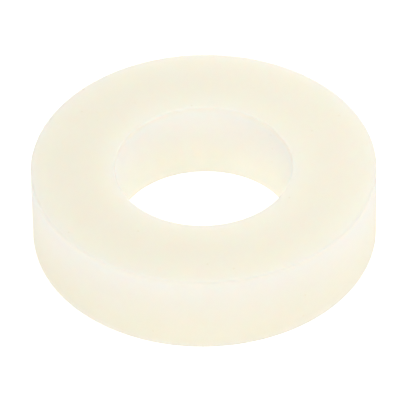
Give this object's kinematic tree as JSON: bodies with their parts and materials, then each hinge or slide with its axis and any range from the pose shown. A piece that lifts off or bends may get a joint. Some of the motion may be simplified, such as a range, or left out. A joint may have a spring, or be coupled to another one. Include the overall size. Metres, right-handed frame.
{
  "type": "flat washer",
  "caption": "Thick flat washer of natural nylon: a plain ring that spaces, insulates and spreads the load under a screw head or nut.",
  "frame": {"origin": "centre of the hole, in the plane of the lower bearing face", "axes": "+Z along the hole's axis, out of the upper bearing face; X and Y are equivalent, because the washer is a body of revolution"},
  "size_m": [0.0126, 0.0126, 0.0032],
  "materials": {
    "natural_nylon": "satin natural (undyed) nylon, slightly translucent, warm off-white"
  },
  "bodies": {
    "root": {"washer": "natural_nylon"}
  },
  "joints": []
}
